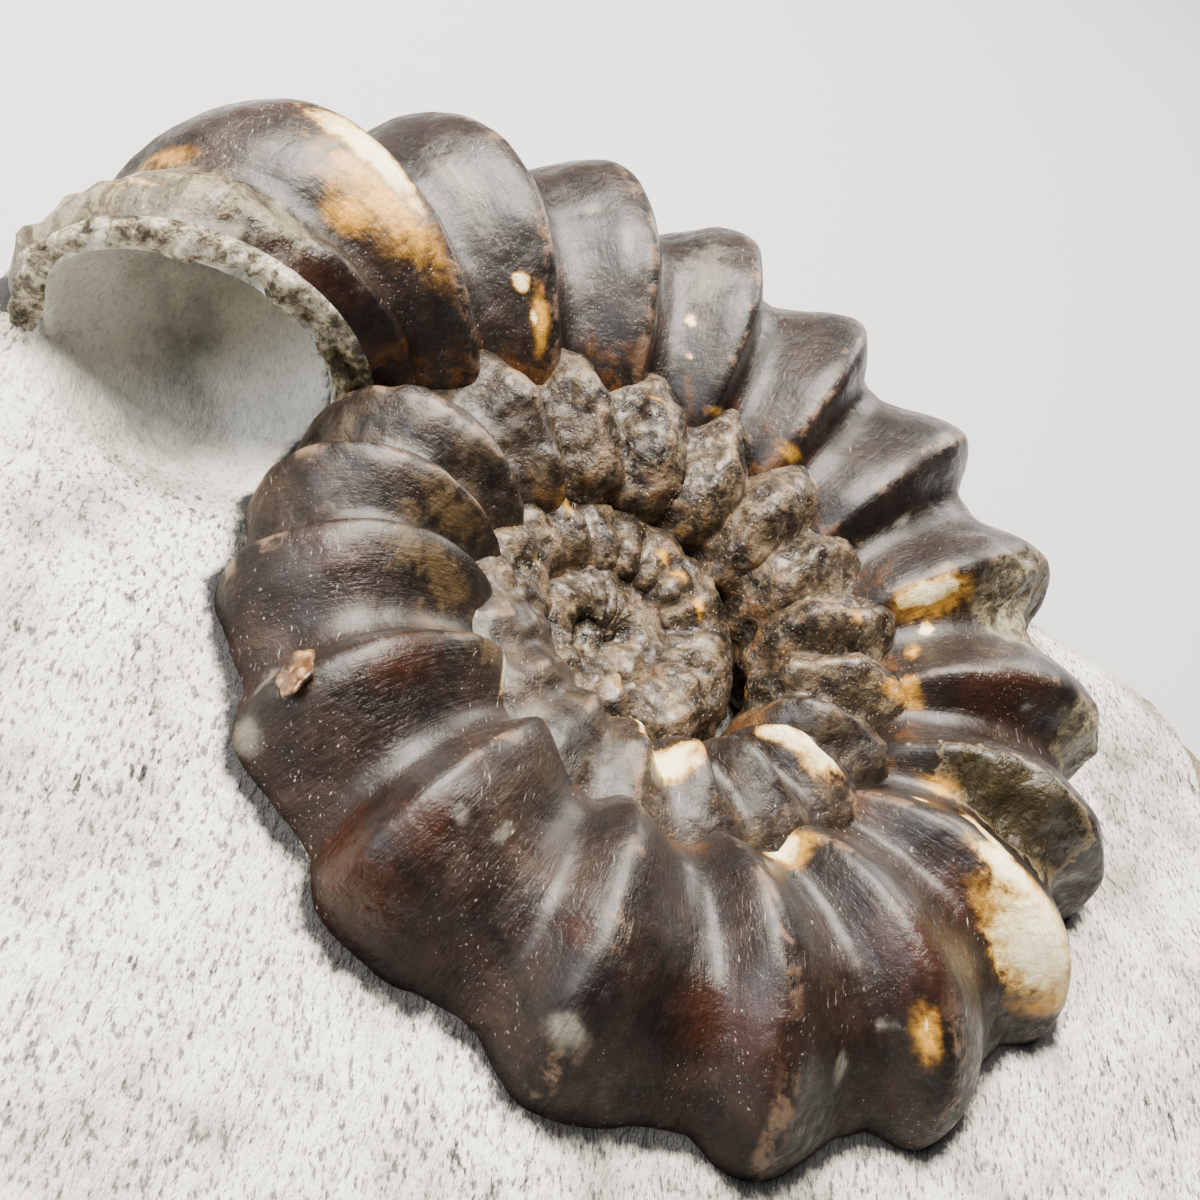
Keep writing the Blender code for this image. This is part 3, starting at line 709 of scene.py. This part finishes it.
def waxedCalcite():
    # Calcite that has taken the place of the shell, cleaned by air abrasion and waxed: nearly black brown
    # with red and cream depths, a soft wax gloss with fine scratches on the outer turn, and worn lumps that
    # glint on the inner turns.
    material, tree, shader = newMaterial("waxedCalcite", calcite["shader"])
    fields = readFields(tree, calcite)
    # crinkles: where a bent noise passes through its middle value
    crease = addNode(tree, "Math", {0: fields["crinkle"], 1: -0.5}, operation="ADD")
    fields["ridge"] = addNode(tree, "Math", {0: crease}, operation="ABSOLUTE")
    # growth lines run round the tube: close together along the coil, long round it
    along, across = (addNode(tree, "Math", {0: fields[name], 1: scale}, operation="MULTIPLY")
                     for name, scale in zip(("coilAngle", "aroundTube"), calcite["lineScale"]))
    lineField = addNode(tree, "CombineXYZ", {"X": along, "Y": across})
    fields["lines"] = addNode(tree, "TexNoise", {"Vector": lineField, "Scale": 1.0, "Detail": 4.0,
                                                 "Roughness": 0.7})
    mottled = addNode(tree, "Mix", {0: 0.4, 2: fields["broad"], 3: fields["blotch"]})
    waxed = addNode(tree, "ValToRGB", {"Fac": mottled}, stops=calcite["waxed"])
    worn = addNode(tree, "ValToRGB", {"Fac": fields["blotch"]}, stops=calcite["worn"])
    colour = addNode(tree, "Mix", {0: fields["worn"], 6: waxed, 7: worn}, out=2, data_type="RGBA")
    low, high = calcite["coatSide"]
    polished = addNode(tree, "MapRange", {"Value": fields["aroundTube"], "From Min": low, "From Max": high},
                       **smooth)
    low, high, shine = calcite["sparkle"]
    sparkle = addNode(tree, "MapRange", {"Value": fields["grain"], "From Min": low, "From Max": high,
                                         "To Max": shine}, **smooth)
    wax = addNode(tree, "Math", {0: polished, 1: calcite["coat"]}, operation="MULTIPLY")
    coat = addNode(tree, "Mix", {0: fields["worn"], 2: wax, 3: sparkle})
    tree.links.new(coat, shader.inputs["Coat Weight"])
    glossy, dull = calcite["roughness"]
    side = addNode(tree, "MapRange", {"Value": polished, "To Min": glossy + calcite["sideRoughness"],
                                      "To Max": glossy})
    roughness = addNode(tree, "Mix", {0: fields["worn"], 2: side, 3: dull})
    colour, roughness = layColours(tree, colour, roughness, fields, calcite["tints"])
    colour, roughness = layMarks(tree, colour, roughness, fields, calcite["marks"])
    colour, roughness = layColours(tree, colour, roughness, fields, calcite["over"])
    darkest, lightest = calcite["lineShade"]
    streak = addNode(tree, "MapRange", {"Value": fields["lines"], "From Min": 0.3, "From Max": 0.7,
                                        "To Min": darkest, "To Max": lightest})
    shaded = addNode(tree, "VectorMath", {0: colour, "Scale": streak}, operation="SCALE")
    tree.links.new(shaded, shader.inputs["Base Color"])
    least, most = calcite["unevenness"]
    reach = addNode(tree, "Mix", {0: fields["worn"], 2: least, 3: most})
    uneven = addNode(tree, "MapRange", {"Value": fields["grain"], "From Min": 0.38, "From Max": 0.62,
                                        "To Min": -1.0, "To Max": 1.0})
    wandering = addNode(tree, "Math", {0: uneven, 1: reach, 2: roughness}, operation="MULTIPLY_ADD")
    tree.links.new(wandering, shader.inputs["Roughness"])
    layBumps(tree, shader, fields, fields["worn"], calcite["bumps"])
    return material


brokenEdge = {
    "sugary": ((0.36, "#1f190f"), (0.43, "#6a5d45"), (0.5, "#bcb096"), (0.6, "#f8f2e2")),
    "dark": ((0.38, "#1d180e"), (0.5, "#4b4129"), (0.62, "#c5b78f")),
    "darkSide": (2.25, 2.5),  # radians round the tube
    # field, height in millimetres, and strength, the same throughout
    "bumps": (("blotch", 0.5, 1.0, 1.0), ("crystals", 0.15, 0.8, 0.8)),
}


def brokenCalcite():
    # The broken edge of the shell wall: sugary white and beige crystals, dark olive ones on the inner side.
    material, tree, shader = newMaterial("brokenCalcite", {"IOR": 1.56, "Roughness": 0.5})
    place = addNode(tree, "TexCoord", out="Object")
    around = addNode(tree, "Attribute", out="Fac", attribute_name="aroundTube")
    crystals = addNode(tree, "TexVoronoi", {"Vector": place, "Scale": cells(0.45)}, out="Distance")
    blotch = addNode(tree, "TexNoise", {"Vector": place, "Scale": cells(0.8), "Detail": 6.0,
                                        "Roughness": 0.75})
    low, high = brokenEdge["darkSide"]
    inner = addNode(tree, "MapRange", {"Value": around, "From Min": low, "From Max": high}, **smooth)
    sugary, dark = (addNode(tree, "ValToRGB", {"Fac": blotch}, stops=stops)
                    for stops in (brokenEdge["sugary"], brokenEdge["dark"]))
    colour = addNode(tree, "Mix", {0: inner, 6: sugary, 7: dark}, out=2, data_type="RGBA")
    tree.links.new(colour, shader.inputs["Base Color"])
    layBumps(tree, shader, {"blotch": blotch, "crystals": crystals}, 0.0, brokenEdge["bumps"])
    return material


limestone = {
    "attributes": ("fromShell", "onTop", "worked"),
    "top": ((0.3, "#83807a"), (0.42, "#b9b7ae"), (0.53, "#e0ded4"), (0.66, "#f8f6ee")),
    "side": ((0.32, "#4f4938"), (0.45, "#7c735e"), (0.57, "#a39a84"), (0.7, "#c2bba9")),
    # in the same order as the noises of the calcite
    "noises": {"tone": (4.5, 5.0, 0.6, 0.0, 1.0), "smudge": (2.8, 6.0, 0.72, 0.0, 1.0),
               "fleck": (0.3, 3.0, 0.62, 0.0, 0.35), "stipple": (0.17, 3.0, 0.62, 0.0, 0.45)},
    "strokeTurn": (0.0, 0.0, 0.5),  # radians
    "stippleRange": (0.36, 0.48),
    "shades": ((0.72, 0.22), (0.9, 1.0)),  # darkest and lightest, each in the smooth bowl and where worked
    "contactWander": (2.0, -1.0),  # millimetres that the painted shade along the shell strays, with the smudges
    # field, height in millimetres, and strength in the smooth bowl and where worked
    "bumps": (("stipple", 0.2, 0.3, 1.0), ("fleck", 0.2, 0.7, 0.7)),
    "tints": (
        ("#6f6d66", 0.6, 0.9, (("smudge", 0.56, 0.72), ("worked", -0.4, 1.0))),
        ("#1f1e1b", 0.92, 0.9, (("fleck", 0.58, 0.64), ("smudge", 0.45, 0.6), ("worked", 0.0, 1.0))),
        # painted shade: near black along the join with the shell
        ("#0b0d10", 1.0, 0.7, (("contactShade", 0.8, 0.25),))),
}


def airAbradedLimestone(name):
    # Fine pale limestone: the top is worked with an air pen and abrasive powder, which leaves a matt stipple
    # of short strokes with dark flecks; the near black line along the shell is painted shade at the join; the
    # sides are natural breaks and browner.
    material, tree, shader = newMaterial(name, {"IOR": 1.5, "Roughness": 0.9})
    fields = readFields(tree, limestone)
    # the painted shade along the shell: distance from it, strayed by the smudges
    scale, shift = limestone["contactWander"]
    strayed = addNode(tree, "Math", {0: fields["smudge"], 1: scale, 2: shift}, operation="MULTIPLY_ADD")
    fields["contactShade"] = addNode(tree, "Math", {0: fields["fromShell"], 1: strayed}, operation="ADD")
    top = addNode(tree, "ValToRGB", {"Fac": fields["tone"]}, stops=limestone["top"])
    side = addNode(tree, "ValToRGB", {"Fac": fields["smudge"]}, stops=limestone["side"])
    colour = addNode(tree, "Mix", {0: fields["onTop"], 6: side, 7: top}, out=2, data_type="RGBA")
    colour, roughness = layColours(tree, colour, 0.92, fields, limestone["tints"])
    least, most = (addNode(tree, "Mix", {0: fields["worked"], 2: plain, 3: worked})
                   for plain, worked in limestone["shades"])
    low, high = limestone["stippleRange"]
    shade = addNode(tree, "MapRange", {"Value": fields["stipple"], "From Min": low, "From Max": high,
                                       "To Min": least, "To Max": most})
    shaded = addNode(tree, "VectorMath", {0: colour, "Scale": shade}, operation="SCALE")
    tree.links.new(shaded, shader.inputs["Base Color"])
    tree.links.new(roughness, shader.inputs["Roughness"])
    layBumps(tree, shader, fields, fields["worked"], limestone["bumps"])
    return material


def floorPaper():
    # Matt studio paper, which gives the eye nothing but a soft shadow.
    colour = linearColour(studio["floorColour"])
    return newMaterial("floorPaper", {"Base Color": colour, "Roughness": 0.95})[0]


ammonite = makeAmmonite()
shellCalcite = waxedCalcite()
for material in (shellCalcite, brokenCalcite(), airAbradedLimestone("hollowLimestone")):
    ammonite.data.materials.append(material)
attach(ammonite, "root")
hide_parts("ammonite")
middle = makeCore()
middle.data.materials.append(shellCalcite)
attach(middle, "root")
print("ammonite:", len(ammonite.data.polygons) + len(middle.data.polygons), "faces")

flake = {
    "place": (329.2, 43.0),  # degrees along the coil and round the tube
    "size": (1.05, 0.62, 0.1),  # half width, half length and half thickness in millimetres
    "turn": 1.1,  # radians
    "edges": (0.86, 1.0, 0.8, 1.05, 0.92, 0.78, 1.0, 0.88, 1.1, 0.84, 0.95, 0.75),  # uneven outline
    "points": 48,  # round it
    "rows": (0.15, 0.45, 0.75, 0.93, 1.0, 0.93, 0.6, 0.2),  # shares of the outline, over the top and back
    "lift": (1.0, 1.0, 0.9, 0.7, 0.0, -1.0, -1.0, -1.0),  # shares of the half thickness there
    "above": 0.14,  # millimetres from the rib's surface to its middle
    "grain": (0.4, 0.03),  # cell and height in millimetres
    "stops": ((0.35, "#2a1a0e"), (0.5, "#583a20"), (0.66, "#a88558")),
    "bumps": (("blotch", 0.1, 0.8, 0.8),),
}


def makeFlake():
    # a thin crystal plate with an uneven outline, laid on the shell: its rows run over the top and back under
    angle, around = flake["place"][0], math.radians(flake["place"][1])
    near = np.array([[angle, around], [angle + 0.5, around], [angle, around + 0.05]])
    corner, alongPoint, acrossPoint = tubePoints(near[:, 0], near[:, 1], ribSwell(near[:, 0], near[:, 1]))
    along = (alongPoint - corner) / np.linalg.norm(alongPoint - corner)
    out = np.cross(acrossPoint - corner, along)
    out = out / np.linalg.norm(out)
    across = np.cross(out, along)
    edges = flake["edges"] + flake["edges"][:1]
    step = np.arange(flake["points"]) / flake["points"]
    turned = math.tau * step + flake["turn"]
    outline = np.interp(step * len(flake["edges"]), np.arange(len(edges)), edges)
    rows, lift = np.array(flake["rows"])[:, None], np.array(flake["lift"])[:, None]
    halfWidth, halfLength, halfThickness = (size * millimetre for size in flake["size"])
    u, v = rows * outline * np.cos(turned) * halfWidth, rows * outline * np.sin(turned) * halfLength
    spot = corner + flake["above"] * millimetre * out
    points = spot + u[..., None] * along + v[..., None] * across
    points = points + (lift * halfThickness + 0.0 * u)[..., None] * out
    push = reliefPush(points, ((flake["grain"], 1.0, 191),), 2)
    points = points + push[..., None] * millimetre * out
    return closedGrid("calciteFlake", points, {}, np.zeros(len(rows)))


def amberCalcite():
    # A loose flake of tan calcite, glossy where it cleaved.
    material, tree, shader = newMaterial("amberCalcite", {"IOR": 1.56, "Roughness": 0.3})
    place = addNode(tree, "TexCoord", out="Object")
    blotch = addNode(tree, "TexNoise", {"Vector": place, "Scale": cells(0.5), "Detail": 4.0,
                                        "Distortion": 0.6})
    colour = addNode(tree, "ValToRGB", {"Fac": blotch}, stops=flake["stops"])
    tree.links.new(colour, shader.inputs["Base Color"])
    layBumps(tree, shader, {"blotch": blotch}, 0.0, flake["bumps"])
    return material


chip = makeFlake()
chip.data.materials.append(amberCalcite())
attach(chip, "root")
print("flake:", len(chip.data.polygons), "faces")

stone = makeBlock()
stone.data.materials.append(airAbradedLimestone("airAbradedLimestone"))
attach(stone, "root")
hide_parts("limestone_matrix")
print("block:", len(stone.data.polygons), "faces")

studio = {
    "floorSize": 3.0,
    "floorColour": "#bcbec0",
    "cameraPlace": (-16.35, -27.17, 46.93),  # millimetres
    "cameraAim": (-1.75, 2.07, 15.0),
    "cameraRoll": 39.9,  # degrees
    "lens": 39.0,
    "lights": (("overhead", (-70.0, 70.0, 190.0), 180.0, 2.65, "#fff7ea"),
               ("left", (-190.0, -70.0, 120.0), 110.0, 0.3, "#f4f8ff"),
               ("back", (110.0, 170.0, 110.0), 100.0, 0.36, "#fff8ee")),
    "surround": ("#e3e4e6", 0.21),
}


def lookFrom(holder, place, aim, roll=0.0):
    # puts a lamp or camera at a place in millimetres, turned to its aim and rolled by so many degrees
    holder.location = Vector(place) * millimetre
    towards = Vector(aim) * millimetre - holder.location
    rolled = Quaternion((0.0, 0.0, 1.0), math.radians(roll))
    holder.rotation_euler = (towards.to_track_quat("-Z", "Y") @ rolled).to_euler()


def makeStudio():
    bpy.ops.mesh.primitive_plane_add(size=studio["floorSize"])
    floor = bpy.context.object
    floor.name = "floor"
    floor.data.materials.append(floorPaper())
    for name, place, size, power, colour in studio["lights"]:
        lamp = bpy.data.lights.new(name, "AREA")
        lamp.shape = "DISK"
        lamp.size = size * millimetre
        lamp.energy = power
        lamp.color = linearColour(colour)[:3]
        lookFrom(addObject(name, lamp), place, (0.0, 0.0, coil["middle"] / millimetre))
    world = bpy.data.worlds.new("studio")
    world.use_nodes = True
    surround = world.node_tree.nodes["Background"]
    surround.inputs["Color"].default_value = linearColour(studio["surround"][0])
    surround.inputs["Strength"].default_value = studio["surround"][1]
    bpy.context.scene.world = world
    lens = bpy.data.cameras.new("camera")
    lens.sensor_width = 36.0
    lens.lens = studio["lens"]
    lens.clip_start = 0.001
    camera = addObject("camera", lens)
    lookFrom(camera, studio["cameraPlace"], studio["cameraAim"], studio["cameraRoll"])
    bpy.context.scene.camera = camera


makeStudio()
print("studio ready")
